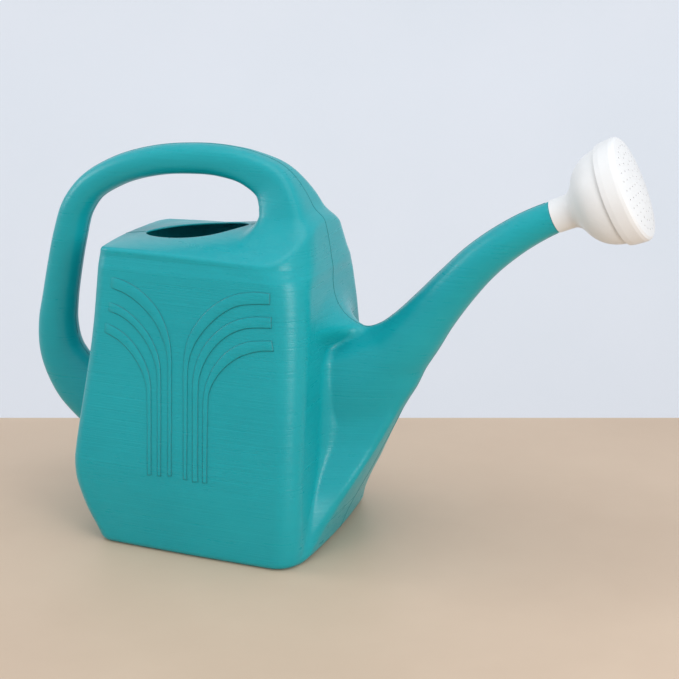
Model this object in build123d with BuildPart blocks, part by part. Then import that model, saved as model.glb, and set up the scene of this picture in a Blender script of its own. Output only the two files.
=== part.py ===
from build123d import *
import os
from math import sin, cos, radians, atan2, degrees

# Garden watering can: a blow-moulded polyethylene can, whose tank, handle and
# spout are one hollow wall, and a two-piece push-on rose.
# Frame: origin at the centre of the base, +X towards the spout, +Z up.
# The parting plane of the mould is y = 0. All sizes in millimetres.

# ---------------------------------------------------------------- dimensions
wall = 1.8                    # wall of the blow-moulded can
floor_t = 2.4                 # wall of the base

# Tank: height, rear x, front x, half width at the rear, half width at the front
tank_rows = [
    (0.0, -101.0, 90.5, 92.5, 102.0),
    (5.5, -106.5, 94.3, 96.5, 106.2),
    (32.0, -121.0, 96.5, 98.5, 107.0),
    (60.0, -130.5, 97.5, 100.5, 107.0),
    (80.0, -131.5, 97.5, 100.5, 106.0),
    (105.0, -129.0, 97.0, 97.0, 103.5),
    (150.0, -124.0, 95.5, 89.5, 97.5),
    (215.0, -116.5, 92.0, 78.0, 88.0),
    (262.0, -111.0, 88.5, 70.0, 81.0),
    (310.0, -108.0, 86.0, 69.0, 80.0),
]
tank_rear_r = 12.0            # upright corners at the handle's end
tank_front_r = 18.0           # upright corners at the spout's end

# Top of the tank: slopes up towards the spout and falls off to both sides
top_rear_z = 279.5            # at x = -106, on the parting plane
top_slope = 0.137             # rise per millimetre of x
crown = [(22.0, 0.0), (50.0, 4.0), (61.0, 9.5), (120.0, 60.0)]   # half width, drop

# Mouth: outline seen from above, one side of the parting plane
mouth_half = [(-91.5, 0.0), (-83.0, 15.5), (-65.0, 28.0), (-40.0, 34.0),
              (-14.0, 29.0), (3.0, 16.0), (13.5, 0.0)]

# Prow below the spout: height, nose x, crease x, crease half width,
# mid-flank x, mid-flank half width
prow_rows = [
    (3.0, 100.5, 95.5, 72.0, 86.0, 86.0),
    (24.0, 110.6, 103.6, 60.0, 90.0, 84.0),
    (47.0, 122.8, 116.0, 50.0, 96.0, 80.0),
    (69.0, 135.0, 129.5, 40.0, 104.0, 72.0),
    (100.0, 150.5, 147.0, 23.0, 112.0, 56.0),
    (130.0, 165.5, 162.5, 16.0, 118.0, 46.0),
    (160.0, 179.0, 176.5, 12.0, 124.0, 38.0),
    (180.0, 185.5, 183.0, 10.0, 128.0, 30.0),
]
prow_root = 60.0              # x inside the tank where the prow starts

# Spout: x, z, half height in the parting plane, half width
spout_rows = [
    (105.0, 150.0, 50.0, 40.0),
    (131.0, 167.0, 39.0, 30.5),
    (156.0, 184.0, 31.8, 26.2),
    (175.0, 204.5, 26.6, 23.5),
    (193.5, 229.0, 22.6, 21.3),
    (214.5, 254.5, 20.0, 19.7),
    (237.0, 279.5, 18.1, 18.1),
    (258.5, 298.0, 16.7, 16.8),
    (281.5, 313.8, 15.3, 15.4),
    (303.0, 325.3, 14.2, 14.2),
]
tip_x, tip_z = 303.0, 325.3   # shoulder that the rose's neck butts against
tip_tilt = 24.0               # rose axis above the horizontal, degrees
spigot_r = 12.60              # outside of the tip that the rose pushes on to
spigot_bore_r = 10.8
spigot_len = 20.0

# Handle: x, z, half height in the parting plane, half width
handle_rows = [
    (-104.0, 84.0, 28.0, 24.0),
    (-142.0, 104.5, 28.5, 21.0),
    (-173.0, 127.5, 27.0, 19.0),
    (-190.0, 155.0, 22.6, 17.5),
    (-192.7, 186.0, 19.3, 16.5),
    (-189.5, 207.0, 17.9, 16.0),
    (-183.0, 239.5, 17.0, 15.6),
    (-174.7, 273.4, 16.4, 15.5),
    (-164.8, 302.0, 15.3, 15.5),
    (-150.3, 321.0, 14.3, 15.5),
    (-122.8, 338.2, 13.9, 15.5),
    (-79.0, 352.0, 14.0, 15.5),
    (-44.5, 356.0, 14.4, 15.5),
    (-12.0, 355.8, 14.8, 15.8),
    (19.0, 349.5, 16.2, 17.0),
    (41.0, 337.5, 19.4, 19.0),
    (53.5, 319.0, 22.6, 22.5),
    (58.5, 294.0, 27.5, 28.0),
    (58.5, 262.0, 33.0, 35.0),
]

# Rose: distances s along its axis from the spout's shoulder, and radii
rose_neck_r = 14.8
rose_socket_clear = 0.05      # radial clearance on the spigot
rose_seam_s = 55.0            # where the face cap's skirt starts
rose_wall = 2.0
rim_r = 43.2                  # bell's rim inside the skirt
rim_end = 67.0
cap_r = 47.0
cap_clear = 0.08              # radial clearance between skirt and rim
cap_face_s = 74.0             # edge of the face
cap_dome = 5.0                # rise of the face
hole_r = 0.75                 # spray holes
hole_rings = [(8.0, 6), (15.5, 12), (23.0, 18), (30.5, 24), (38.0, 30)]

os.makedirs("parts", exist_ok=True)


# ------------------------------------------------------------------ profiles
def tank_plan(row, inset=0.0):
    """Corners of the tank's tapered plan at one height."""
    z, xr, xf, wr, wf = row
    return [(xr + inset, -(wr - inset)), (xf - inset, -(wf - inset)),
            (xf - inset, wf - inset), (xr + inset, wr - inset)]


def row_front_x(row):
    """An x just behind the front corners of one tank row."""
    return row[2] - 6.0


def prow_plan(row, inset=0.0):
    """Corners of the prow's plan at one height, with its narrow front strip."""
    z, nose, cx, cw, mx, mw = row
    nose, cx, cw, mw = nose - inset, cx - inset, cw - 0.7 * inset, mw - inset
    half = [(cx, cw), (mx, mw), (prow_root, mw * 0.8)]
    return [(nose, 0.0)] + half + [(x, -y) for x, y in reversed(half)]


def crown_section(x, lowered=0.0):
    """Corners of the arch over the tank at one x, as (y, z)."""
    zc = top_rear_z + top_slope * (x + 106.0) - lowered
    right = [(w, zc - d) for w, d in crown]
    left = [(-w, zc - d) for w, d in reversed(crown)]
    return left + right + [(crown[-1][0], -30.0), (-crown[-1][0], -30.0)]


def path_angles(rows, end=None):
    """Direction of a path in the parting plane at each row, degrees above +X."""
    out = []
    for i in range(len(rows)):
        a, b = rows[max(i - 1, 0)], rows[min(i + 1, len(rows) - 1)]
        out.append(degrees(atan2(b[1] - a[1], b[0] - a[0])))
    if end is not None:
        out[-1] = end
    return out


def cross_plane(x, z, angle):
    """Plane across a path: its x axis lies in the parting plane, its y axis along Y."""
    a = radians(angle)
    return Plane(origin=(x, 0, z), x_dir=(-sin(a), 0, cos(a)), z_dir=(cos(a), 0, sin(a)))


tip_dir = (cos(radians(tip_tilt)), 0, sin(radians(tip_tilt)))
tip_plane = Plane(origin=(tip_x, 0, tip_z), x_dir=(0, 1, 0), z_dir=tip_dir)

# --------------------------------------------- tank: outside, and space inside
with BuildPart() as tank_outer:
    for row in tank_rows:
        with BuildSketch(Plane.XY.offset(row[0])):
            Polygon(*tank_plan(row), align=None)
            fillet(vertices().filter_by(lambda v: v.X < 0), radius=tank_rear_r)
            fillet(vertices().filter_by(lambda v: v.X > row_front_x(row)), radius=tank_front_r)
    loft(ruled=True)

with BuildPart() as tank_inner:
    for row in tank_rows:
        with BuildSketch(Plane.XY.offset(max(row[0], floor_t))):
            Polygon(*tank_plan(row, wall), align=None)
            fillet(vertices().filter_by(lambda v: v.X < 0), radius=tank_rear_r - wall)
            fillet(vertices().filter_by(lambda v: v.X > row_front_x(row)), radius=tank_front_r - wall)
    loft(ruled=True)

with BuildPart() as under_top:
    for x in (-170.0, 130.0):
        with BuildSketch(Plane(origin=(x, 0, 0), x_dir=(0, 1, 0), z_dir=(1, 0, 0))):
            Polygon(*crown_section(x), align=None)
    loft(ruled=True)

with BuildPart() as under_ceiling:
    for x in (-170.0, 130.0):
        with BuildSketch(Plane(origin=(x, 0, 0), x_dir=(0, 1, 0), z_dir=(1, 0, 0))):
            Polygon(*crown_section(x, wall), align=None)
    loft(ruled=True)

with BuildPart() as tank_space:
    add(tank_inner.part)
    add(under_ceiling.part, mode=Mode.INTERSECT)

# --------------------------------------------------------------------- prow
with BuildPart() as prow_outer:
    for row in prow_rows:
        with BuildSketch(Plane.XY.offset(row[0])):
            Polygon(*prow_plan(row), align=None)
    loft(ruled=True)

with BuildPart() as prow_space:
    for row in prow_rows:
        lift = wall if row is prow_rows[0] else (-wall if row is prow_rows[-1] else 0.0)
        with BuildSketch(Plane.XY.offset(row[0] + lift)):
            Polygon(*prow_plan(row, wall), align=None)
    loft(ruled=True)

# -------------------------------------------------------------------- spout
spout_angles = path_angles(spout_rows, tip_tilt)
with BuildPart() as spout_outer:
    for row, ang in zip(spout_rows, spout_angles):
        with BuildSketch(cross_plane(row[0], row[1], ang)):
            Ellipse(row[2], row[3])
    loft()

with BuildPart() as spout_space:
    for row, ang in zip(spout_rows, spout_angles):
        with BuildSketch(cross_plane(row[0], row[1], ang)):
            Ellipse(row[2] - wall, row[3] - wall)
    loft()

# ------------------------------------------------------------------- handle
handle_angles = path_angles(handle_rows)
with BuildPart() as handle_outer:
    for row, ang in zip(handle_rows, handle_angles):
        with BuildSketch(cross_plane(row[0], row[1], ang)):
            Ellipse(row[2], row[3])
    loft()

with BuildPart() as handle_space:
    for row, ang in zip(handle_rows, handle_angles):
        with BuildSketch(cross_plane(row[0], row[1], ang)):
            Ellipse(row[2] - wall, row[3] - wall)
    loft()

# ------------------------------------------- walls, each open to its neighbours
with BuildPart() as tank_wall:
    add(tank_outer.part)
    add(under_top.part, mode=Mode.INTERSECT)
    add(tank_space.part, mode=Mode.SUBTRACT)
    add(prow_space.part, mode=Mode.SUBTRACT)
    add(spout_space.part, mode=Mode.SUBTRACT)
    add(handle_space.part, mode=Mode.SUBTRACT)

with BuildPart() as handle_wall:
    add(handle_outer.part)
    add(handle_space.part, mode=Mode.SUBTRACT)
    add(tank_space.part, mode=Mode.SUBTRACT)

with BuildPart() as spout_wall:
    add(spout_outer.part)
    add(spout_space.part, mode=Mode.SUBTRACT)
    add(tank_space.part, mode=Mode.SUBTRACT)
    add(prow_space.part, mode=Mode.SUBTRACT)

with BuildPart() as prow_wall:
    add(prow_outer.part)
    add(prow_space.part, mode=Mode.SUBTRACT)
    add(tank_space.part, mode=Mode.SUBTRACT)
    add(spout_space.part, mode=Mode.SUBTRACT)

# ---------------------------------------------------------------- can shell
with BuildPart() as can_shell:
    add(tank_wall.part)
    add(prow_wall.part)
    add(spout_wall.part)
    add(handle_wall.part)
    # tip: a shoulder and the spigot that the rose pushes on to
    with BuildSketch(tip_plane.offset(-4)):
        Circle(spigot_r)
    extrude(amount=spigot_len + 4)
    with BuildSketch(tip_plane.offset(-8)):
        Circle(spigot_bore_r)
    extrude(amount=spigot_len + 10, mode=Mode.SUBTRACT)
    # filling mouth in the tank's top
    with BuildSketch(Plane.XY.offset(262)):
        with BuildLine():
            Spline(*mouth_half, *[(x, -y) for x, y in reversed(mouth_half[1:-1])], periodic=True)
        make_face()
    extrude(amount=60, mode=Mode.SUBTRACT)

can_shell.part.label = "can_shell"
export_step(can_shell.part, "parts/can_shell.step")

# ---------------------------------------------------------------- rose bell
# Profile in the parting plane: local x is the radius, local y the distance s.
rose_plane = Plane(origin=(tip_x, 0, tip_z), x_dir=(-sin(radians(tip_tilt)), 0, cos(radians(tip_tilt))),
                   z_dir=(0, -1, 0))
rose_plane = Plane(origin=rose_plane.origin, x_dir=rose_plane.x_dir,
                   z_dir=(0, -1, 0) if rose_plane.y_dir.X > 0 else (0, 1, 0))
rose_axis = Axis((tip_x, 0, tip_z), tip_dir)
socket_r = spigot_r + rose_socket_clear
seat_s = 0.15                 # gap between the neck's edge and the spout's shoulder
stop_s = spigot_len + 0.6
with BuildPart() as rose_bell:
    with BuildSketch(rose_plane):
        with BuildLine():
            Polyline((socket_r, seat_s), (rose_neck_r, seat_s), (rose_neck_r + 0.3, 13.0))
            Spline((rose_neck_r + 0.3, 13.0), (16.6, 18.0), (20.4, 22.0), (27.2, 26.3), (34.2, 32.2),
                   (39.4, 40.0), (42.2, 48.0), (rim_r, rose_seam_s))
            Polyline((rim_r, rose_seam_s), (rim_r, rim_end), (rim_r - rose_wall, rim_end),
                     (rim_r - rose_wall, rose_seam_s))
            Spline((rim_r - rose_wall, rose_seam_s), (39.8, 47.6), (37.3, 41.0), (32.4, 33.6),
                   (25.8, 28.2), (19.0, 25.0), (11.0, 23.4))
            Polyline((11.0, 23.4), (11.0, stop_s), (socket_r, stop_s), (socket_r, seat_s))
        make_face()
    revolve(axis=rose_axis)

rose_bell.part.label = "rose_bell"
export_step(rose_bell.part, "parts/rose_bell.step")

# ---------------------------------------------------------------- rose face
skirt_r = rim_r + cap_clear
seat_in = rim_end + 0.15      # inner shoulder that bears on the end of the bell's rim
with BuildPart() as rose_face:
    with BuildSketch(rose_plane):
        with BuildLine():
            Polyline((skirt_r, rose_seam_s + 0.3), (cap_r - 1.4, rose_seam_s + 0.3), (cap_r - 0.5, 60.0),
                     (cap_r, cap_face_s - 4.5), (cap_r - 0.6, cap_face_s - 1.7), (cap_r - 2.6, cap_face_s))
            ThreePointArc((cap_r - 2.6, cap_face_s), (24.0, cap_face_s + cap_dome * 0.72),
                          (hole_r, cap_face_s + cap_dome))
            Line((hole_r, cap_face_s + cap_dome), (hole_r, cap_face_s + cap_dome - rose_wall))
            ThreePointArc((hole_r, cap_face_s + cap_dome - rose_wall),
                          (24.0, cap_face_s + cap_dome * 0.72 - rose_wall), (40.0, seat_in + 4.6))
            Polyline((40.0, seat_in + 4.6), (40.6, seat_in), (skirt_r, seat_in), (skirt_r, rose_seam_s + 0.3))
        make_face()
    revolve(axis=rose_axis)
    with BuildSketch(tip_plane.offset(cap_face_s - 5.0)):
        for ring_r, n in hole_rings:
            with PolarLocations(ring_r, n, start_angle=180.0 / n):
                Circle(hole_r)
    extrude(amount=20, mode=Mode.SUBTRACT)

rose_face.part.label = "rose_face"
export_step(rose_face.part, "parts/rose_face.step")

print("space inside the tank, litres:", round(tank_space.part.volume / 1e6, 2))
for piece in (can_shell, rose_bell, rose_face):
    print(piece.part.label, round(piece.part.volume / 1e3, 1), "cm3, solids", len(piece.part.solids()),
          "valid", piece.part.is_valid)
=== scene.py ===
import math
import bpy
import numpy as np
from mathutils import Matrix, Vector


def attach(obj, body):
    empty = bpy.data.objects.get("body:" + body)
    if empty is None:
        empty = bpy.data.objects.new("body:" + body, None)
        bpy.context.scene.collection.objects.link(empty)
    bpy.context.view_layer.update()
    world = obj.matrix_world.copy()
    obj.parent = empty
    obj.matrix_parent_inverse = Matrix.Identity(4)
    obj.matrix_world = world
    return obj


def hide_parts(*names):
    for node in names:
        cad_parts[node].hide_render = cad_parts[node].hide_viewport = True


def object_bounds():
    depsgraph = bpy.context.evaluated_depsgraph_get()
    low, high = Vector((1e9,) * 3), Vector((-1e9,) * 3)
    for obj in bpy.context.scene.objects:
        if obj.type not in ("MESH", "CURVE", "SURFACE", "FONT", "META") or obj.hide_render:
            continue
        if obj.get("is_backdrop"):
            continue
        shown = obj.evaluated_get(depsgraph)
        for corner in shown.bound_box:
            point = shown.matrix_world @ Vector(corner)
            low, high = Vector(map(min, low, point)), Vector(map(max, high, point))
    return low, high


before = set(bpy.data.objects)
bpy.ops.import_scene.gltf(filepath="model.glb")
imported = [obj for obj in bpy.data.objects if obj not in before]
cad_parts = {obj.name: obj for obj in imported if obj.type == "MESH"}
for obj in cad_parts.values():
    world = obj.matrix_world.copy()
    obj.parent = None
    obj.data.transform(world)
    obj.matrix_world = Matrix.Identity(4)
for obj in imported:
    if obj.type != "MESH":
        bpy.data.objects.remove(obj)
CAD_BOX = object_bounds()
STEP = 2.2

# ---------------------------------------------------------------- can's shape, mm
TANK = np.array([  # z, rear x, front x at the corners, half width rear, half width front, corner radius rear, front
    (-20, -98.0, 92.0, 92.0, 101.5, 11.0, 24.0),
    (0, -104.5, 96.0, 96.5, 107.0, 11.0, 24.0),
    (10, -108.0, 97.5, 97.5, 107.5, 11.0, 23.0),
    (32, -119.5, 98.5, 99.0, 108.0, 11.0, 21.0),
    (60, -128.5, 99.0, 100.5, 107.5, 11.0, 20.0),
    (80, -129.5, 99.0, 100.5, 106.0, 11.0, 20.0),
    (105, -126.5, 99.0, 97.0, 103.5, 11.0, 21.0),
    (150, -120.5, 98.5, 89.5, 97.5, 11.0, 23.0),
    (190, -115.5, 98.0, 82.5, 91.5, 11.0, 25.0),
    (215, -113.5, 97.5, 78.0, 88.0, 11.0, 27.0),
    (250, -112.0, 95.5, 72.0, 82.5, 11.0, 30.0),
    (262, -111.5, 94.0, 70.0, 81.0, 11.0, 32.0),
    (285, -109.0, 89.0, 67.0, 78.0, 11.0, 44.0),
    (330, -103.0, 80.0, 64.0, 75.0, 11.0, 56.0)], float)
BOW_R, BOW_F = 6.0, 2.0
TOP_Z, TOP_SLOPE = 279.5, 0.137
PROW = np.array([  # z, nose x, crease setback, crease half width, root x, root half width
    (-10, 99.0, 4.0, 90.0, 88.0, 97.0),
    (3, 104.0, 4.0, 85.0, 90.0, 94.0),
    (24, 112.0, 4.0, 70.0, 94.0, 84.0),
    (47, 123.5, 4.0, 56.0, 98.5, 71.0),
    (69, 135.5, 4.0, 46.0, 98.5, 57.0),
    (100, 150.5, 3.0, 26.0, 98.5, 40.0),
    (130, 165.0, 3.0, 17.5, 98.5, 33.0),
    (160, 177.0, 3.0, 12.0, 98.5, 31.0),
    (200, 185.0, 3.0, 9.0, 98.5, 30.0)], float)
SPOUT = np.array([  # x, z, half height, half width, squareness
    (96.0, 148.0, 42.0, 26.0, 2.0), (130.0, 166.0, 37.0, 27.0, 1.9), (156.0, 184.0, 31.5, 25.5, 1.9),
    (175.5, 205.0, 26.8, 24.0, 1.95), (194.0, 229.0, 22.5, 21.6, 2.0), (214.5, 254.5, 19.8, 19.6, 2.0),
    (237.0, 279.5, 18.0, 18.0, 2.0), (258.5, 298.0, 16.6, 16.8, 2.0), (281.5, 313.8, 15.3, 15.4, 2.0),
    (303.0, 325.3, 14.2, 14.2, 2.0), (314.0, 330.2, 14.0, 14.0, 2.0)], float)
HANDLE = np.array([  # x, z, half height, half width, squareness
    (-106.0, 72.0, 33.0, 24.0, 2.4), (-143.5, 102.0, 31.0, 21.0, 2.4), (-174.0, 127.0, 27.4, 19.0, 2.4),
    (-190.0, 155.0, 22.6, 17.5, 2.4), (-192.7, 186.0, 19.2, 16.5, 2.4), (-189.5, 207.0, 17.8, 16.0, 2.3),
    (-183.0, 239.5, 16.9, 15.6, 2.3), (-174.7, 273.4, 16.3, 15.5, 2.3), (-164.8, 302.0, 15.2, 15.5, 2.3),
    (-150.3, 321.0, 14.2, 15.5, 2.3), (-122.8, 338.2, 13.8, 15.5, 2.3), (-79.0, 352.0, 14.0, 15.5, 2.3),
    (-44.5, 356.0, 14.4, 15.5, 2.3), (-12.0, 355.8, 14.8, 15.8, 2.4), (19.0, 349.5, 16.2, 16.5, 3.0),
    (41.0, 337.5, 19.2, 20.0, 4.0), (53.0, 319.0, 22.2, 30.0, 5.0), (58.5, 294.0, 27.0, 43.0, 6.0),
    (59.0, 262.0, 30.0, 54.0, 6.0)], float)
TIP = np.array((303.0, 325.3)); TILT = np.radians(24.0)
WALL = 1.8


def smax(a, b, r):
    return np.minimum(-r, np.maximum(a, b)) + np.sqrt(np.maximum(a + r, 0) ** 2 + np.maximum(b + r, 0) ** 2)


def smin(a, b, r):
    return np.maximum(r, np.minimum(a, b)) - np.sqrt(np.maximum(r - a, 0) ** 2 + np.maximum(r - b, 0) ** 2)


def smooth_table(rows, sigma, step=1.0):
    z = np.arange(rows[0, 0], rows[-1, 0] + step, step)
    k = np.arange(-int(3 * sigma), int(3 * sigma) + 1)
    g = np.exp(-0.5 * (k / sigma) ** 2); g /= g.sum()
    out = [z]
    for c in range(1, rows.shape[1]):
        v = np.interp(z, rows[:, 0], rows[:, c])
        n = len(k) // 2
        pad = np.concatenate([v[0] + (v[1] - v[0]) * np.arange(-n, 0), v, v[-1] + (v[-1] - v[-2]) * np.arange(1, n + 1)])
        out.append(np.convolve(pad, g, "valid"))
    return out


def sstep(a, b, x):
    t = np.clip((x - a) / (b - a), 0, 1)
    return t * t * (3 - 2 * t)


def path(rows, step=2.5):
    """Dense smooth path through the rows: points, unit tangents and the other columns."""
    P = rows[:, :2]
    s = np.concatenate([[0], np.cumsum(np.linalg.norm(np.diff(P, axis=0), axis=1))])
    m = np.zeros_like(rows)
    for i in range(len(rows)):  # Catmull-Rom slopes, non-uniform
        if 0 < i < len(rows) - 1:
            h0, h1 = s[i] - s[i - 1], s[i + 1] - s[i]
            d0, d1 = (rows[i] - rows[i - 1]) / h0, (rows[i + 1] - rows[i]) / h1
            m[i] = (d0 * h1 + d1 * h0) / (h0 + h1)
        elif i == 0:
            m[i] = (rows[1] - rows[0]) / (s[1] - s[0])
        else:
            m[i] = (rows[-1] - rows[-2]) / (s[-1] - s[-2])
    t = np.arange(0, s[-1], step); t = np.append(t, s[-1])
    j = np.clip(np.searchsorted(s, t, "right") - 1, 0, len(s) - 2)
    h = (s[j + 1] - s[j])[:, None]; u = ((t - s[j]) / (s[j + 1] - s[j]))[:, None]
    v = ((1 + 2 * u) * (1 - u) ** 2 * rows[j] + u * (1 - u) ** 2 * h * m[j] + u * u * (3 - 2 * u) * rows[j + 1] - u * u * (1 - u) * h * m[j + 1])
    g = np.gradient(v, axis=0); ds = np.linalg.norm(g[:, :2], axis=1)[:, None]
    return v, g / ds


class Tube:
    def __init__(s, rows):
        s.v, s.g = path(rows)
        s.sq = rows.shape[1] > 4

    def local(s, x, z):
        """In-plane offset, section sizes and overshoot past the ends for points (x, z)."""
        x = x.ravel(); z = z.ravel(); n = len(x)
        a = np.empty(n); h = np.empty(n); w = np.empty(n); q = np.full(n, 2.0); over = np.empty(n)
        for i in range(0, n, 40000):
            X, Z = x[i:i + 40000], z[i:i + 40000]
            d = (X[:, None] - s.v[:, 0]) ** 2 + (Z[:, None] - s.v[:, 1]) ** 2
            k = d.argmin(1)
            T = s.g[k, :2]; rx, rz = X - s.v[k, 0], Z - s.v[k, 1]
            al = rx * T[:, 0] + rz * T[:, 1]
            ac = np.where(k == 0, np.clip(al, 0, 1.4), np.where(k == len(s.v) - 1, np.clip(al, -1.4, 0), np.clip(al, -1.4, 1.4)))
            a[i:i + 40000] = -rx * T[:, 1] + rz * T[:, 0]
            h[i:i + 40000] = s.v[k, 2] + ac * s.g[k, 2]; w[i:i + 40000] = s.v[k, 3] + ac * s.g[k, 3]
            if s.sq: q[i:i + 40000] = s.v[k, 4]
            over[i:i + 40000] = np.where(k == 0, -al, np.where(k == len(s.v) - 1, al, -50.0))
        return a, h, w, q, over

    def field(s, loc, y):
        a, h, w, q, over = loc
        A = np.abs(a) / h; B = np.abs(y) / w
        rho = (A ** q + B ** q) ** (1 / q) + 1e-9
        grad = np.sqrt(((A / rho) ** (q - 1) / h) ** 2 + ((B / rho) ** (q - 1) / w) ** 2) + 1e-9
        d = (rho - 1) / grad
        return smax(d, over, 3.0)


S_T, H_T = Tube(SPOUT), Tube(HANDLE)
TT = smooth_table(TANK, 6.0)
PT = smooth_table(PROW, 5.0)


def tank(x, y, z):
    ay = np.abs(y)
    xr, xf, wr, wf, rr, rf = [np.interp(z, TT[0], c) for c in TT[1:]]
    w = wr + (wf - wr) * np.clip((x - xr) / (xf - xr), -0.1, 1.1)
    bow = 1 - np.minimum(ay / w, 1) ** 2
    xm, L = (xr + xf) / 2, (xf - xr) / 2
    rc = np.where(x > xm, rf, rr)
    side = np.where(x > xm, x - xm - L - BOW_F * bow, xm - x - L - BOW_R * bow)
    wb = w + 1.5 * (1 - np.minimum(np.abs(x - xm) / L, 1) ** 2) + 1.1 * (1 - sstep(262.0, 269.0, z)) - 0.9 * np.exp(-((z - 274.0) / 3.0) ** 2)
    qx, qy = side + rc, ay - wb + rc
    d = np.sqrt(np.maximum(qx, 0) ** 2 + np.maximum(qy, 0) ** 2) + np.minimum(np.maximum(qx, qy), 0) - rc
    d = d * 0.985
    crown = 0.5 + 0.088 * np.clip(x + 100.0, 0, 180)
    zt = TOP_Z + 1.0 + TOP_SLOPE * (x + 106.0) - crown * (ay / 58.0) ** 2
    top = (z - zt) / np.sqrt(1 + TOP_SLOPE ** 2)
    d = smax(d, top, 3.0)
    return smax(d, -z, 5.5)


def prow(x, y, z):
    ay = np.abs(y)
    N, sb, c, mx, my = [np.interp(z, PT[0], q) for q in PT[1:]]
    cx = N - sb
    front = (x - (N - sb * np.minimum(ay / c, 1.6) ** 2)) * 0.88
    tx, ty = mx - cx, my - c
    l = np.sqrt(tx * tx + ty * ty)
    flank = ((x - cx) * ty - (ay - c) * tx) / l * 0.93
    roof = (z - (193.0 + 0.25 * (x - 120.0) - 0.22 * np.maximum(ay - 8.0, 0))) / 1.06
    d = smax(front, flank, 5.0)
    d = smax(d, roof, 8.0)
    d = smax(d, 84.0 - x, 2.0)
    return smax(d, -z, 7.0)


def field_parts(x, y, z, sl=None, hl=None):
    if sl is None:
        sl, hl = S_T.local(x, z), H_T.local(x, z)
    T = tank(x, y, z)
    P = prow(x, y, z)
    S = S_T.field(sl, y)
    H = H_T.field(hl, y)
    rTP = 3.0 + 12.0 * sstep(60.0, 125.0, z) - 7.0 * sstep(150.0, 185.0, z)
    d = smin(T, S, 8.0 + 44.0 * sstep(185.0, 214.0, z))
    d = smin(d, P, rTP)
    rH = 12.0 + 4.0 * sstep(-20.0, 30.0, x)
    return smin(d, H, rH)


def field(p):
    p = np.asarray(p, float)
    return field_parts(p[:, 0], p[:, 1], p[:, 2])


def grad(p, e=0.25):
    g = np.empty_like(p)
    for i in range(3):
        o = np.zeros(3); o[i] = e
        g[:, i] = (field(p + o) - field(p - o)) / (2 * e)
    return g


def project(p, n=3, level=0.0, cap=3.0):
    for _ in range(n):
        f = field(p) - level; g = grad(p)
        p = p - np.clip(f / np.maximum((g * g).sum(1), 0.2), -cap, cap)[:, None] * g
    return p


def surface_nets(lo, hi, h):
    """Quad mesh of the zero level on a grid of step h; only y >= 0 is evaluated and mirrored."""
    xs = np.arange(lo[0], hi[0] + h, h); zs = np.arange(lo[2], hi[2] + h, h)
    ny = int(np.ceil(hi[1] / h)) + 1
    ys = (np.arange(2 * ny) - ny + 0.5) * h
    X, Z = np.meshgrid(xs, zs, indexing="ij")
    sl, hl = S_T.local(X, Z), H_T.local(X, Z)
    F = np.empty((len(xs), len(ys), len(zs)), np.float32)
    for j in range(ny, 2 * ny):
        f = field_parts(X.ravel(), np.full(X.size, ys[j]), Z.ravel(), sl, hl).reshape(X.shape)
        F[:, j] = f; F[:, 2 * ny - 1 - j] = f
    neg = F < 0
    c = [neg[i:neg.shape[0] - 1 + i, j:neg.shape[1] - 1 + j, k:neg.shape[2] - 1 + k] for i in (0, 1) for j in (0, 1) for k in (0, 1)]
    cnt = sum(v.astype(np.int8) for v in c)
    act = (cnt > 0) & (cnt < 8)
    idx = np.full(act.shape, -1, np.int64); I = np.argwhere(act); idx[act] = np.arange(len(I))
    acc = np.zeros((len(I), 3)); num = np.zeros(len(I))
    corners = [(i, j, k) for i in (0, 1) for j in (0, 1) for k in (0, 1)]
    def val(o): return F[I[:, 0] + o[0], I[:, 1] + o[1], I[:, 2] + o[2]].astype(float)
    vals = {o: val(o) for o in corners}
    for a in corners:
        for ax in range(3):
            if a[ax] == 0:
                b = tuple(1 if q == ax else a[q] for q in range(3))
                va, vb = vals[a], vals[b]
                m = (va < 0) != (vb < 0)
                t = np.where(m, va / np.where(m, va - vb, 1), 0)
                pt = np.array(a, float)[None] + t[:, None] * (np.array(b, float) - np.array(a, float))[None]
                acc[m] += pt[m]; num[m] += 1
    V = (I + acc / num[:, None]) * h + np.array([xs[0], ys[0], zs[0]])
    Q = []
    for ax in range(3):
        n0 = [slice(None)] * 3; n1 = [slice(None)] * 3
        n0[ax] = slice(0, -1); n1[ax] = slice(1, None)
        cr = neg[tuple(n0)] != neg[tuple(n1)]
        E = np.argwhere(cr)
        b, c2 = [(1, 2), (2, 0), (0, 1)][ax]
        ok = (E[:, b] > 0) & (E[:, c2] > 0) & (E[:, b] < act.shape[b]) & (E[:, c2] < act.shape[c2]) & (E[:, ax] < act.shape[ax])
        E = E[ok]
        s = neg[E[:, 0], E[:, 1], E[:, 2]]
        def cell(db, dc):
            q = E.copy(); q[:, b] -= db; q[:, c2] -= dc
            return idx[q[:, 0], q[:, 1], q[:, 2]]
        quad = np.stack([cell(1, 1), cell(0, 1), cell(0, 0), cell(1, 0)], 1)
        quad[~s] = quad[~s][:, ::-1]
        Q.append(quad)
    Q = np.concatenate(Q)
    return V, Q[(Q >= 0).all(1)]


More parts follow.
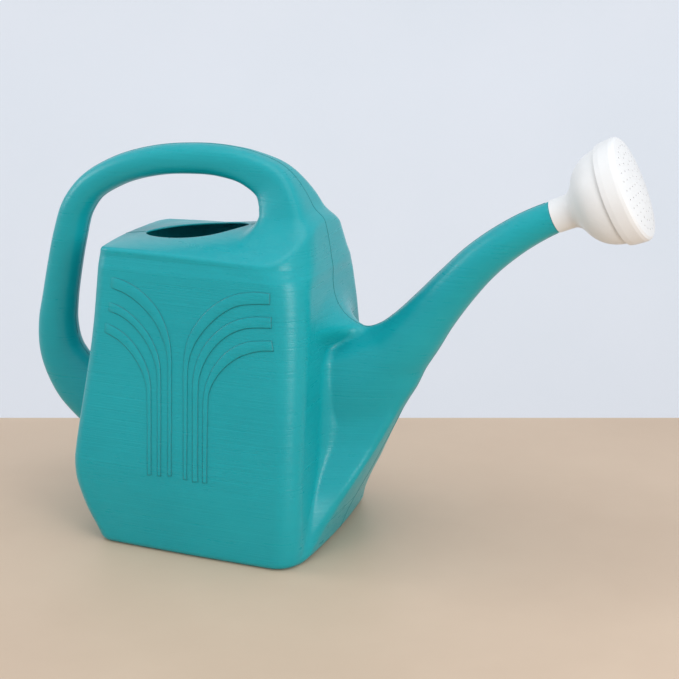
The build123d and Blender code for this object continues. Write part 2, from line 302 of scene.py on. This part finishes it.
RIBS = {  # outer x, outer z, inner x, inner z along each raised rib of the side panel
    "R1": [(-11.0, 78.3, -7.3, 77.8), (-11.4, 94.6, -7.7, 93.2), (-11.9, 111.0, -8.0, 108.5), (-12.5, 127.3, -8.4,
        123.9), (-13.1, 143.6, -9.0, 139.2), (-13.9, 159.9, -9.5, 154.5), (-14.6, 176.2, -10.2, 169.9), (-14.2, 192.5,
        -9.8, 185.2), (-10.9, 208.4, -5.6, 199.9), (-3.0, 222.7, 2.1, 213.0), (7.5, 235.1, 12.2, 224.6), (20.4, 245.1,
        23.9, 234.5), (35.2, 252.0, 37.4, 241.5), (51.1, 255.3, 52.4, 244.3), (67.4, 255.6, 67.7, 245.8)],
    "R2": [(-1.7, 76.7, 3.8, 77.5), (-2.1, 91.2, 3.4, 91.0), (-2.5, 105.8, 3.0, 104.6), (-2.9, 120.3, 2.6, 118.2),
        (-3.5, 134.8, 2.1, 131.7), (-4.1, 149.4, 1.6, 145.3), (-4.7, 163.9, 1.2, 158.9), (-3.8, 178.4, 1.7, 172.4),
        (0.1, 192.4, 5.5, 185.3), (7.0, 205.1, 11.9, 197.2), (16.5, 216.0, 20.6, 207.6), (27.9, 224.9, 31.3, 215.9),
        (41.1, 230.9, 43.6, 221.5), (55.3, 233.8, 56.9, 223.9), (69.8, 234.7, 70.5, 224.9)],
    "R3": [(8.5, 77.1, 12.9, 77.7), (8.2, 89.7, 12.7, 89.4), (7.9, 102.2, 12.5, 101.1), (7.6, 114.8, 12.3, 112.8), (7.2,
        127.3, 12.0, 124.5), (6.8, 139.9, 11.8, 136.2), (6.4, 152.4, 11.5, 147.9), (7.8, 164.9, 12.0, 159.6), (11.6,
        176.8, 16.0, 170.5), (17.5, 187.8, 22.3, 180.3), (25.5, 197.4, 30.4, 188.7), (35.4, 205.1, 39.8, 195.7),
        (46.7, 210.4, 50.4, 200.5), (58.9, 212.7, 61.6, 203.7), (71.4, 214.1, 73.3, 204.9)],
    "L1": [(-23.1, 79.5, -26.8, 79.0), (-23.5, 94.8, -27.2, 93.4), (-24.0, 110.0, -27.6, 107.7), (-24.4, 125.3, -28.0,
        122.1), (-25.1, 140.6, -28.6, 136.4), (-25.7, 155.8, -29.2, 150.7), (-26.4, 171.1, -29.8, 165.1), (-27.1,
        186.3, -30.5, 179.4), (-29.3, 201.4, -32.6, 193.6), (-34.1, 215.9, -38.2, 206.8), (-41.8, 228.9, -46.1,
        218.7), (-52.7, 239.6, -56.4, 228.6), (-65.5, 247.8, -68.2, 236.6), (-79.8, 253.1, -81.4, 242.3), (-94.8,
        255.6, -95.4, 245.1)],
    "L2": [(-34.0, 78.0, -37.5, 77.5), (-34.4, 91.2, -37.9, 90.0), (-34.7, 104.4, -38.2, 102.6), (-35.1, 117.6, -38.6,
        115.1), (-35.6, 130.8, -39.1, 127.6), (-36.1, 144.0, -39.6, 140.1), (-36.7, 157.2, -40.2, 152.6), (-37.5,
        170.4, -40.8, 165.1), (-39.4, 183.4, -42.6, 177.5), (-44.0, 195.7, -47.3, 189.1), (-51.3, 206.7, -54.2,
        199.5), (-60.6, 216.0, -62.9, 208.6), (-71.3, 223.7, -73.0, 216.0), (-83.2, 229.3, -84.3, 221.3), (-95.9,
        232.6, -96.6, 223.4)],
    "L3": [(-43.9, 77.6, -47.9, 77.0), (-44.2, 89.2, -48.2, 87.8), (-44.5, 100.7, -48.5, 98.7), (-44.9, 112.3, -48.8,
        109.5), (-45.3, 123.8, -49.1, 120.3), (-45.9, 135.4, -49.7, 131.1), (-46.5, 147.0, -50.3, 141.9), (-47.1,
        158.5, -50.9, 152.7), (-49.3, 169.8, -53.1, 163.2), (-53.8, 180.5, -57.6, 173.0), (-60.3, 190.1, -63.8,
        181.8), (-68.2, 198.5, -71.3, 189.5), (-77.6, 205.3, -79.9, 196.1), (-88.2, 210.0, -89.5, 200.9), (-99.3,
        213.0, -99.9, 203.7)],
}

MOUTH = [(-91.5, 0.0), (-83.0, 15.5), (-65.0, 28.0), (-40.0, 34.0), (-14.0, 29.0), (3.0, 16.0), (13.5, 0.0)]
SPIGOT_R, SPIGOT_LEN = 12.6, 20.0
RIM_R = 0.9

# ---------------------------------------------------------------- tip: shoulder and spigot
body_field = field_parts


def field_parts(x, y, z, sl=None, hl=None):
    d = body_field(x, y, z, sl, hl)
    s = (x - TIP[0]) * np.cos(TILT) + (z - TIP[1]) * np.sin(TILT)
    r = np.sqrt(y * y + ((z - TIP[1]) * np.cos(TILT) - (x - TIP[0]) * np.sin(TILT)) ** 2)
    d = smax(d, s, 0.5)
    cyl = smax(smax(r - SPIGOT_R, s - SPIGOT_LEN - 4.0, 0.3), -s - 5.0, 0.3)
    return smin(d, cyl, 0.3)


def along_tip(p):
    return (p[:, 0] - TIP[0]) * np.cos(TILT) + (p[:, 2] - TIP[1]) * np.sin(TILT)


def relax(V, Q, n=2):
    e = np.concatenate([Q[:, [0, 1]], Q[:, [1, 2]], Q[:, [2, 3]], Q[:, [3, 0]]])
    e = np.concatenate([e, e[:, ::-1]])
    num = np.maximum(np.bincount(e[:, 0], minlength=len(V)), 1)[:, None]
    keep = along_tip(V) > -3.0
    for _ in range(n):
        avg = np.stack([np.bincount(e[:, 0], V[e[:, 1], i], len(V)) for i in range(3)], 1) / num
        g = grad(V); g /= np.maximum(np.linalg.norm(g, axis=1), 1e-6)[:, None]
        d = (avg - V) * 0.6
        d -= (d * g).sum(1)[:, None] * g
        d[keep] *= 0.25
        V = project(V + d, 1)
    return V


# ---------------------------------------------------------------- the mouth's outline
def closed_curve(pts, n=14):
    P = np.array(pts + [(x, -y) for x, y in reversed(pts[1:-1])], float)
    out = []
    for i in range(len(P)):
        a, b, c, d = P[i - 1], P[i], P[(i + 1) % len(P)], P[(i + 2) % len(P)]
        for t in np.arange(n) / n:
            out.append(0.5 * (2 * b + (c - a) * t + (2 * a - 5 * b + 4 * c - d) * t * t + (3 * b - a - 3 * c + d) * t ** 3))
    return np.array(out)


OUTLINE = closed_curve(MOUTH)


def mouth(p):
    """Signed distance to the mouth's outline seen from above (inside negative) and its outward direction."""
    A = OUTLINE; B = np.roll(A, -1, 0); d = B - A
    q = p[:, None, :2] - A
    t = np.clip((q * d).sum(2) / (d * d).sum(1), 0, 1)
    v = q - t[..., None] * d
    L = np.sqrt((v * v).sum(2)); k = L.argmin(1); i = np.arange(len(p))
    dist = L[i, k]
    cr = ((A[:, 1] > p[:, 1, None]) != (B[:, 1] > p[:, 1, None])) & (p[:, 0, None] < A[:, 0] + (p[:, 1, None] - A[:, 1]) * d[:, 0] / np.where(d[:, 1] == 0, 1e-9, d[:, 1]))
    inside = cr.sum(1) % 2 == 1
    n = v[i, k] / np.maximum(dist, 1e-6)[:, None]
    return np.where(inside, -dist, dist), np.where(inside[:, None], -n, n)


def clip(V, T, m):
    """The part of a triangle mesh where m is above 0; m is 0 at the vertices of the new edge."""
    keep = (m[T] >= 0).all(1) & (m[T] > 0).any(1)
    cross = (m[T] > 0).any(1) & (m[T] < 0).any(1)
    V, m = list(map(tuple, V)), list(m)
    made, new = {}, []
    for t in T[cross]:
        poly = []
        for a, b in ((t[0], t[1]), (t[1], t[2]), (t[2], t[0])):
            if m[a] >= 0:
                poly.append(a)
            if m[a] * m[b] < 0:
                key = (min(a, b), max(a, b))
                if key not in made:
                    u = m[a] / (m[a] - m[b])
                    V.append(tuple(V[a][i] + u * (V[b][i] - V[a][i]) for i in range(3))); m.append(0.0)
                    made[key] = len(V) - 1
                poly.append(made[key])
        new += [(poly[0], poly[i], poly[i + 1]) for i in range(1, len(poly) - 1)]
    V, m = np.array(V), np.array(m)
    T = np.concatenate([T[keep], np.array(new, int)]) if new else T[keep]
    used = np.unique(T); back = np.full(len(V), -1); back[used] = np.arange(len(used))
    return V[used], back[T], m[used]


def open_edges(T):
    e = np.concatenate([T[:, [0, 1]], T[:, [1, 2]], T[:, [2, 0]]])
    have = set(map(tuple, e))
    return np.array([x for x in have if (x[1], x[0]) not in have])


def build_can():
    V, Q = surface_nets((-222, 0, -6), (330, 121, 378), STEP)
    V = project(V, 2)
    V = relax(V, Q)
    T = np.concatenate([Q[:, [0, 1, 2]], Q[:, [0, 2, 3]]])
    # open end of the spigot
    m = SPIGOT_LEN - along_tip(V)
    V, T, m = clip(V, T, m)
    # mouth: the edge is pulled on to the outline first, so that no sliver is left
    m = np.full(len(V), 50.0)
    z = V[:, 2]
    near = (z > 250) & (z < 308) & (V[:, 0] > -105) & (V[:, 0] < 30) & (np.abs(V[:, 1]) < 50)
    d, n = mouth(V[near])
    d = d - RIM_R
    pull = np.abs(d) < 0.42 * STEP
    W = V[near]
    W[pull, :2] -= (n * d[:, None])[pull]
    d[pull] = 0.0
    V[near] = W
    V[near] = np.where(pull[:, None], drop_to_surface(V[near]), V[near])
    m[near] = d
    V, T, m = clip(V, T, m)
    edges = open_edges(T)
    g = grad(V); g /= np.maximum(np.linalg.norm(g, axis=1), 1e-6)[:, None]
    N = len(V)
    tip_v = np.abs(along_tip(V) - SPIGOT_LEN) < 1e-3
    g[tip_v] -= (g[tip_v] @ np.array([np.cos(TILT), 0, np.sin(TILT)]))[:, None] * np.array([np.cos(TILT), 0, np.sin(TILT)])
    inner = V - WALL * g
    at_mouth = np.zeros(N, bool)
    bv = np.unique(edges); bm = bv[~tip_v[bv]]
    at_mouth[bm] = True
    dd, nn = mouth(V[bm])
    inner[bm, :2] = V[bm, :2]; inner[bm, 2] = V[bm, 2] - WALL
    verts, faces = [V, inner], [T, T[:, ::-1] + N]
    rings = [bm]
    base = 2 * N
    for th in (36, 72, 108, 144):
        a = math.radians(th)
        p = V[bm].copy()
        p[:, :2] -= nn * (RIM_R * math.sin(a)); p[:, 2] -= WALL / 2 * (1 - math.cos(a))
        verts.append(p); rings.append(np.arange(len(bm)) + base); base += len(bm)
    rings.append(bm + N)
    at = np.full(N, -1); at[bm] = np.arange(len(bm))
    quads = []
    for a, b in edges:
        if at_mouth[a] and at_mouth[b]:
            for r0, r1 in zip(rings[:-1], rings[1:]):
                quads.append((r0[at[b]], r0[at[a]], r1[at[a]], r1[at[b]]))
        else:
            quads.append((b, a, a + N, b + N))
    return np.concatenate(verts), [tuple(t) for t in np.concatenate(faces)] + quads


def drop_to_surface(p):
    for _ in range(3):
        f = field(p); gz = (field(p + (0, 0, 0.25)) - field(p - (0, 0, 0.25))) / 0.5
        p = p - np.stack([np.zeros(len(p)), np.zeros(len(p)), f / np.where(np.abs(gz) < 0.2, 1, gz)], 1)
    return p


# ---------------------------------------------------------------- raised ribs on both side panels
def spline(P, n):
    P = np.asarray(P, float); m = len(P); out = []
    for t in np.linspace(0, m - 1, n):
        i = min(int(t), m - 2); u = t - i
        a, b, c, d = P[max(i - 1, 0)], P[i], P[i + 1], P[min(i + 2, m - 1)]
        out.append(0.5 * (2 * b + (c - a) * u + (2 * a - 5 * b + 4 * c - d) * u * u + (3 * b - a - 3 * c + d) * u ** 3))
    return np.array(out)


def on_side(x, z, side):
    """The point of the side wall at (x, z) and the outward direction there."""
    y = np.full(len(x), 120.0)
    for _ in range(30):
        y = y - field(np.stack([x, y, z], 1)) * 0.9
    p = np.stack([x, y, z], 1); n = grad(p); n /= np.linalg.norm(n, axis=1)[:, None]
    p[:, 1] *= side; n[:, 1] *= side
    return p, n


RIB_H = 0.9


def rib(rows, side, verts, faces, painted_shade, fade=False, n=72):
    R = spline(rows, n)
    out, inn = R[:, :2], R[:, 2:]
    # profile across the rib: share of the width, offset from the edge in mm, height above the panel, painted shade
    # weight at the edge
    prof = [(0, -0.35, -0.5, 1), (0, -0.25, 0.05, 1), (0, 0.35, 0.75, 1), (0, 0.85, RIB_H, 0.0), (0.5, 0, RIB_H + 0.05, 0),
            (1, -0.85, RIB_H, 0.0), (1, -0.35, 0.75, 1), (1, 0.25, 0.05, 1), (1, 0.35, -0.5, 1)]
    across = inn - out
    W = np.linalg.norm(across, axis=1)[:, None]; u = across / W
    tang = np.gradient((out + inn) / 2, axis=0); tang /= np.linalg.norm(tang, axis=1)[:, None]
    base = len(verts)
    ends = [(0, -0.35, -0.5), (0, -0.25, 0.05), (0, 0.35, 0.75), (0, 0.85, RIB_H)] + [(i, 0, RIB_H) for i in range(1, n - 1)] + \
        [(n - 1, -0.85, RIB_H), (n - 1, -0.35, 0.75), (n - 1, 0.25, 0.05), (n - 1, 0.35, -0.5)]
    rows_v = []
    along = np.concatenate([[0], np.cumsum(np.linalg.norm(np.diff((out + inn) / 2, axis=0), axis=1))])
    for i, dt, cap in ends:
        low = max(0.0, 1 - (along[-1] - along[i]) / 9.0) ** 1.5 if fade else 0.0
        pts, hs, shade_row = [], [], []
        for f, o, h, e in prof:
            q = out[i] + u[i] * (W[i, 0] * f + o) + tang[i] * dt
            pts.append(q); hs.append(min(h, cap) - 1.1 * low)
            # the rib's edge rows and end caps get painted shade, faded where the rib fades out
            shade_row.append((1.0 if cap < RIB_H - 0.01 and not (fade and i > 2) else e) * (1 - low))
        pts = np.array(pts)
        rows_v.append((pts, hs, shade_row))
    P = np.concatenate([r[0] for r in rows_v]); H = np.concatenate([r[1] for r in rows_v]); M = np.concatenate([r[2] for r in rows_v])
    p, nrm = on_side(P[:, 0], P[:, 1], side)
    k = len(prof)
    for v in p + nrm * H[:, None]:
        verts.append(tuple(v))
    painted_shade += list(M)
    for i in range(len(rows_v) - 1):
        for j in range(k - 1):
            a = base + i * k + j
            q = (a, a + 1, a + k + 1, a + k)
            faces.append(q if side > 0 else q[::-1])
    # underside, inside the wall, closes the rib
    last = base + (len(rows_v) - 1) * k
    ring = [base + i * k for i in range(len(rows_v))] + [last + j for j in range(1, k)] + \
        [base + i * k + k - 1 for i in range(len(rows_v) - 2, -1, -1)] + [base + j for j in range(k - 2, 0, -1)]
    L = len(rows_v)
    for i in range(L - 1):
        a, b = base + i * k, base + i * k + k - 1
        q = (a, a + k, b + k, b)
        faces.append(q if side > 0 else q[::-1])


# ---------------------------------------------------------------- parting line in the plane y = 0
def section_loops(h=2.0):
    xs = np.arange(-222, 326, h); zs = np.arange(-6, 380, h)
    X, Z = np.meshgrid(xs, zs, indexing="ij")
    F = field_parts(X.ravel(), np.zeros(X.size), Z.ravel()).reshape(X.shape)
    seg = {}

    def cut(i, j, a, b):
        (i0, j0), (i1, j1) = a, b
        fa, fb = F[i0, j0], F[i1, j1]; t = fa / (fa - fb)
        return (xs[i0] + t * (xs[i1] - xs[i0]), zs[j0] + t * (zs[j1] - zs[j0]))
    pts = {}
    link = {}
    I, J = np.nonzero(np.abs((F[:-1, :-1] < 0) * 1 + (F[1:, :-1] < 0) * 1 + (F[1:, 1:] < 0) * 1 + (F[:-1, 1:] < 0) * 1 - 2) < 2)
    for i, j in zip(I, J):
        c = [(i, j), (i + 1, j), (i + 1, j + 1), (i, j + 1)]
        hits = []
        for q in range(4):
            a, b = c[q], c[(q + 1) % 4]
            if (F[a] < 0) != (F[b] < 0):
                key = (min(a, b), max(a, b)); pts[key] = cut(i, j, a, b); hits.append((key, F[a] < 0))
        for q in range(0, len(hits) - 1, 2):
            a, b = hits[q][0], hits[q + 1][0]
            link.setdefault(a, []).append(b); link.setdefault(b, []).append(a)
    loops, seen = [], set()
    for k0 in link:
        if k0 in seen:
            continue
        loop, k = [k0], k0
        seen.add(k0)
        while True:
            nx = [q for q in link[k] if q not in seen]
            if not nx:
                break
            k = nx[0]; seen.add(k); loop.append(k)
        if len(loop) > 40:
            loops.append(np.array([pts[q] for q in loop]))
    return loops


def seam(verts, faces, painted_shade):
    half, hgt = 0.55, 0.3
    prof = [(-half, -0.5), (-half, 0.02), (-half * 0.45, hgt), (half * 0.45, hgt), (half, 0.02), (half, -0.5)]
    for L in section_loops():
        P = np.stack([L[:, 0], np.zeros(len(L)), L[:, 1]], 1)
        P = project(P, 2); P[:, 1] = 0
        n = len(P)
        if np.linalg.norm(P[0] - P[-1]) < 6:
            P = np.concatenate([P, P[:1]]); n += 1
        s = np.concatenate([[0], np.cumsum(np.linalg.norm(np.diff(P, axis=0), axis=1))])
        t = np.arange(0, s[-1], 2.0)
        P = np.stack([np.interp(t, s, P[:, i]) for i in range(3)], 1)
        for _ in range(2):
            P[1:-1] = (P[:-2] + 2 * P[1:-1] + P[2:]) / 4
        P = project(P, 1); P[:, 1] = 0
        g = grad(P); g[:, 1] = 0; g /= np.linalg.norm(g, axis=1)[:, None]
        ok = (P[:, 2] > 1.2) & (along_tip(P) < -0.6)
        top = (P[:, 2] > 262) & (P[:, 2] < 305) & (P[:, 0] > -91.5 - 0.2) & (P[:, 0] < 13.5 + 0.2) & (g[:, 2] > 0.5)
        ok &= ~top
        run = np.split(np.arange(len(P)), np.nonzero(np.diff(ok.astype(int)))[0] + 1)
        for r in run:
            if not ok[r[0]] or len(r) < 4:
                continue
            base = len(verts)
            for e, i in enumerate(r):
                c = 0.0 if 0 < e < len(r) - 1 else -0.45
                # every vertex of the parting-line bead gets full painted shade
                for y, hh in prof:
                    q = P[i] + g[i] * (hh + c); verts.append((q[0], y, q[2])); painted_shade.append(1.0)
            k = len(prof)
            turn = np.cross(P[r[1]] - P[r[0]], (0, 1, 0)) @ g[r[0]]
            for e in range(len(r) - 1):
                for j in range(k - 1):
                    a = base + e * k + j
                    q = (a, a + 1, a + k + 1, a + k)
                    faces.append(q if turn > 0 else q[::-1])
                a, b = base + e * k, base + e * k + k - 1
                q = (a, a + k, b + k, b)
                faces.append(q if turn > 0 else q[::-1])
            for a, flip in ((base, turn > 0), (base + (len(r) - 1) * k, turn <= 0)):
                q = tuple(a + j for j in range(k))
                faces.append(q[::-1] if flip else q)


def mesh_object(name, verts, faces, painted_shade=None):
    me = bpy.data.meshes.new(name)
    me.from_pydata([tuple(float(c) / 1000 for c in v) for v in verts], [], [tuple(int(i) for i in f) for f in faces])
    if painted_shade is not None:
        # per-vertex painted shade weight along rib edges and the parting line, read by the teal material
        at = me.attributes.new("painted_edge_shade", "FLOAT", "POINT")
        at.data.foreach_set("value", np.asarray(painted_shade, np.float32))
    me.validate()
    me.polygons.foreach_set("use_smooth", [True] * len(me.polygons))
    me.update()
    o = bpy.data.objects.new(name, me)
    bpy.context.scene.collection.objects.link(o)
    return o


# ---------------------------------------------------------------- materials
def nodes_of(mat):
    mat.use_nodes = True
    nt = mat.node_tree
    return nt, nt.nodes, nt.links, nt.nodes["Principled BSDF"]


def ramp(nodes, pts):
    r = nodes.new("ShaderNodeValToRGB")
    r.color_ramp.elements[0].position, r.color_ramp.elements[0].color = pts[0][0], (*pts[0][1], 1)
    r.color_ramp.elements[1].position, r.color_ramp.elements[1].color = pts[-1][0], (*pts[-1][1], 1)
    for p, c in pts[1:-1]:
        e = r.color_ramp.elements.new(p); e.color = (*c, 1)
    return r


def noise(nodes, links, coord, scale, stretch=(1, 1, 1), detail=4.0, rough=0.5):
    m = nodes.new("ShaderNodeMapping"); m.inputs["Scale"].default_value = stretch
    links.new(coord, m.inputs["Vector"])
    n = nodes.new("ShaderNodeTexNoise")
    n.inputs["Scale"].default_value = scale; n.inputs["Detail"].default_value = detail
    n.inputs["Roughness"].default_value = rough
    links.new(m.outputs["Vector"], n.inputs["Vector"])
    return n.outputs["Fac"]


def maths(nodes, links, op, a, b=None, c=None, clamp=False):
    n = nodes.new("ShaderNodeMath"); n.operation = op; n.use_clamp = clamp
    for i, v in enumerate((a, b, c)):
        if v is None:
            continue
        if isinstance(v, (int, float)):
            n.inputs[i].default_value = v
        else:
            links.new(v, n.inputs[i])
    return n.outputs[0]


def mixcol(nodes, links, fac, a, b, mode="MIX"):
    n = nodes.new("ShaderNodeMix"); n.data_type = "RGBA"; n.blend_type = mode
    for key, v in (("Factor", fac), ("A", a), ("B", b)):
        s = [i for i in n.inputs if i.name == key and i.enabled and (key == "Factor" or i.type == "RGBA")][0]
        if isinstance(v, (int, float)):
            s.default_value = v
        elif isinstance(v, tuple):
            s.default_value = (*v, 1)
        else:
            links.new(v, s)
    return [o for o in n.outputs if o.type == "RGBA"][0]


def teal_plastic():
    mat = bpy.data.materials.new("teal_polyethylene")
    nt, N, L, bsdf = nodes_of(mat)
    co = N.new("ShaderNodeTexCoord").outputs["Object"]
    cloud = noise(N, L, co, 9.0, (1, 1, 1.4), 3.0)
    mott = noise(N, L, co, 60.0, (1, 1, 1.6), 4.0, 0.6)
    streak = noise(N, L, co, 5.0, (1.2, 1.2, 75.0), 3.0, 0.6)
    fine = noise(N, L, co, 14.0, (1.0, 1.0, 90.0), 2.0, 0.6)
    grain = noise(N, L, co, 1500.0, (1, 1, 1), 2.0, 0.5)
    base = ramp(N, [(0.3, TEAL_LO), (0.7, TEAL_HI)])
    L.new(maths(N, L, "ADD", maths(N, L, "MULTIPLY", cloud, 0.75), maths(N, L, "MULTIPLY", mott, 0.25)), base.inputs["Fac"])
    # painted shade: rib edges and the parting line are mixed towards dark teal, standing in for the shade along them
    painted_shade = N.new("ShaderNodeAttribute"); painted_shade.attribute_name = "painted_edge_shade"
    col = mixcol(N, L, maths(N, L, "MULTIPLY", painted_shade.outputs["Fac"], 0.48, clamp=True), base.outputs["Color"], (0.004, 0.075, 0.085))
    # a little paler on faces that point up, in noisy patches
    geo = N.new("ShaderNodeNewGeometry")
    sep = N.new("ShaderNodeSeparateXYZ"); L.new(geo.outputs["Normal"], sep.inputs[0])
    pale_patches = noise(N, L, co, 130.0, (1, 1, 1), 5.0, 0.7)
    up = maths(N, L, "MULTIPLY", maths(N, L, "SUBTRACT", sep.outputs["Z"], 0.35, clamp=True), maths(N, L, "SUBTRACT", pale_patches, 0.42, clamp=True), clamp=True)
    col = mixcol(N, L, maths(N, L, "MULTIPLY", up, 0.35, clamp=True), col, (0.24, 0.50, 0.52))
    L.new(col, bsdf.inputs["Base Color"])
    rough = maths(N, L, "ADD", maths(N, L, "MULTIPLY", streak, 0.16), maths(N, L, "MULTIPLY", mott, 0.10))
    L.new(maths(N, L, "ADD", rough, ROUGH), bsdf.inputs["Roughness"])
    height = maths(N, L, "ADD", maths(N, L, "MULTIPLY", streak, 0.6), maths(N, L, "MULTIPLY", fine, 0.35))
    height = maths(N, L, "ADD", height, maths(N, L, "MULTIPLY", grain, 0.12))
    bump = N.new("ShaderNodeBump"); bump.inputs["Strength"].default_value = 0.5; bump.inputs["Distance"].default_value = 0.0011
    L.new(height, bump.inputs["Height"]); L.new(bump.outputs["Normal"], bsdf.inputs["Normal"])
    bsdf.inputs["IOR"].default_value = 1.5
    bsdf.inputs["Specular IOR Level"].default_value = 0.34
    bsdf.inputs["Subsurface Weight"].default_value = 0.22
    bsdf.inputs["Subsurface Radius"].default_value = (0.0008, 0.0035, 0.0038)
    bsdf.inputs["Subsurface Scale"].default_value = 1.0
    return mat


def white_plastic(name, grain_scale):
    mat = bpy.data.materials.new(name)
    nt, N, L, bsdf = nodes_of(mat)
    co = N.new("ShaderNodeTexCoord").outputs["Object"]
    cloud = noise(N, L, co, 14.0, (1, 1, 1), 3.0)
    grain = noise(N, L, co, grain_scale, (1, 1, 1), 3.0, 0.6)
    base = ramp(N, [(0.3, (0.73, 0.74, 0.74)), (0.7, (0.81, 0.82, 0.82))])
    L.new(cloud, base.inputs["Fac"])
    # painted shade: the white plastic is mixed towards grey in crevices and recesses, from ambient occlusion
    ao = N.new("ShaderNodeAmbientOcclusion"); ao.inputs["Distance"].default_value = 0.006; ao.samples = 4
    crevice_shade = maths(N, L, "SUBTRACT", 1.0, ao.outputs["AO"], clamp=True)
    col = mixcol(N, L, maths(N, L, "MULTIPLY", crevice_shade, 0.55, clamp=True), base.outputs["Color"], (0.33, 0.32, 0.29))
    L.new(col, bsdf.inputs["Base Color"])
    L.new(maths(N, L, "ADD", maths(N, L, "MULTIPLY", grain, 0.14), 0.33), bsdf.inputs["Roughness"])
    bump = N.new("ShaderNodeBump"); bump.inputs["Strength"].default_value = 0.15; bump.inputs["Distance"].default_value = 0.0004
    L.new(maths(N, L, "ADD", grain, maths(N, L, "MULTIPLY", cloud, 0.8)), bump.inputs["Height"])
    L.new(bump.outputs["Normal"], bsdf.inputs["Normal"])
    bsdf.inputs["IOR"].default_value = 1.5
    bsdf.inputs["Subsurface Weight"].default_value = 0.08
    bsdf.inputs["Subsurface Radius"].default_value = (0.004, 0.004, 0.0038)
    return mat


TEAL_LO, TEAL_HI = (0.003, 0.318, 0.358), (0.006, 0.356, 0.396)
ROUGH = 0.17

# ---------------------------------------------------------------- the can
verts, faces = build_can()
verts = [tuple(v) for v in verts]
# painted shade weight per vertex; the shell itself gets none
painted_shade = [0.0] * len(verts)
for key, rows in RIBS.items():
    for side in (-1, 1):
        rib(rows, side, verts, faces, painted_shade, fade=key.startswith("L"))
seam(verts, faces, painted_shade)
can = mesh_object("can_body", verts, faces, painted_shade)
can.data.materials.append(teal_plastic())
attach(can, "can")
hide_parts("can_shell")

# ---------------------------------------------------------------- the rose
for name, mat in (("rose_bell", white_plastic("white_bell", 420.0)), ("rose_face", white_plastic("white_cap", 520.0))):
    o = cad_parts[name]
    o.data.materials.clear()
    o.data.materials.append(mat)

# ---------------------------------------------------------------- floor, wall, light, camera
def plane(name, pts, mat):
    o = mesh_object(name, [tuple(c * 1000 for c in p) for p in pts], [(0, 1, 2, 3)])
    o.data.materials.append(mat)
    o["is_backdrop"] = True
    return o


def pale(name, lo, hi, scale, rough):
    mat = bpy.data.materials.new(name)
    nt, N, L, bsdf = nodes_of(mat)
    co = N.new("ShaderNodeTexCoord").outputs["Object"]
    r = ramp(N, [(0.3, lo), (0.7, hi)])
    L.new(noise(N, L, co, scale, (1, 1, 1), 5.0, 0.6), r.inputs["Fac"])
    L.new(r.outputs["Color"], bsdf.inputs["Base Color"])
    bsdf.inputs["Roughness"].default_value = rough
    return mat


AZ, EL = math.radians(19.5), math.radians(16.6)
right = Vector((math.cos(AZ), math.sin(AZ), 0))
away = Vector((-math.sin(AZ), math.cos(AZ), 0))
foot = Vector((-0.006, 0.311, 0)) - right * 0.0
floor_m = pale("pale_floor", (0.56, 0.42, 0.305), (0.62, 0.475, 0.35), 3.0, 0.5)
wall_m = pale("pale_wall", (0.87, 0.89, 0.92), (0.90, 0.91, 0.94), 1.5, 0.9)
p0, p1 = foot - right * 4.0, foot + right * 4.0
plane("floor", [p0 - away * 5.0, p1 - away * 5.0, p1, p0], floor_m)
# the wall stands well behind the table edge, so that the can can be seen from every side
w0, w1 = foot + away * 3.0 - right * 7.0, foot + away * 3.0 + right * 7.0
plane("backdrop", [w0 - Vector((0, 0, 3.0)), w1 - Vector((0, 0, 3.0)), w1 + Vector((0, 0, 5.0)), w0 + Vector((0, 0, 5.0))], wall_m)


def area(name, loc, target, size, power, colour=(1, 1, 1), size_y=None):
    l = bpy.data.lights.new(name, "AREA"); l.energy = power; l.color = colour
    l.shape = "RECTANGLE"; l.size = size; l.size_y = size_y or size
    o = bpy.data.objects.new(name, l); o.location = loc
    o.rotation_euler = (Vector(target) - Vector(loc)).to_track_quat("-Z", "Y").to_euler()
    bpy.context.scene.collection.objects.link(o)
    o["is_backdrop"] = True
    return o


area("key_top", (0.30, -0.25, 1.9), (0.05, 0.0, 0.1), 1.4, 8.0, (1.0, 0.99, 0.97))
area("right_key", (1.55, -1.15, 0.75), (0.08, 0.0, 0.15), 0.7, 14.0, (1.0, 0.99, 0.98))
area("left_soft", (-1.6, -0.35, 0.9), (-0.05, 0.0, 0.2), 0.7, 7.0, (0.97, 0.98, 1.0))
world = bpy.data.worlds.new("soft_room"); bpy.context.scene.world = world
world.use_nodes = True
bg = world.node_tree.nodes["Background"]
bg.inputs["Color"].default_value = (0.90, 0.94, 1.0, 1); bg.inputs["Strength"].default_value = 0.84
bpy.context.scene.view_settings.view_transform = "Standard"

cam_d = bpy.data.cameras.new("photo_camera"); cam_d.sensor_width = 36.0; cam_d.lens = 1600.0 * 36.0 / 679.0
cam_d.clip_start = 0.05; cam_d.clip_end = 30.0
cam = bpy.data.objects.new("photo_camera", cam_d)
up = Vector((-math.sin(AZ) * math.sin(EL), math.cos(AZ) * math.sin(EL), math.cos(EL)))
back = Vector((math.sin(AZ) * math.cos(EL), -math.cos(AZ) * math.cos(EL), math.sin(EL)))
M = Matrix.Identity(4)
for i in range(3):
    M[i][0], M[i][1], M[i][2] = right[i], up[i], back[i]
    M[i][3] = (0.582, -1.351, 0.6209)[i]
cam.matrix_world = M
bpy.context.scene.collection.objects.link(cam)
bpy.context.scene.camera = cam


def plain(b):
    return [[float(c) for c in p] for p in b] if not hasattr(b[0], "keys") else b


{"cad_box_m": plain(CAD_BOX), "visual_box_m": plain(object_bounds())}
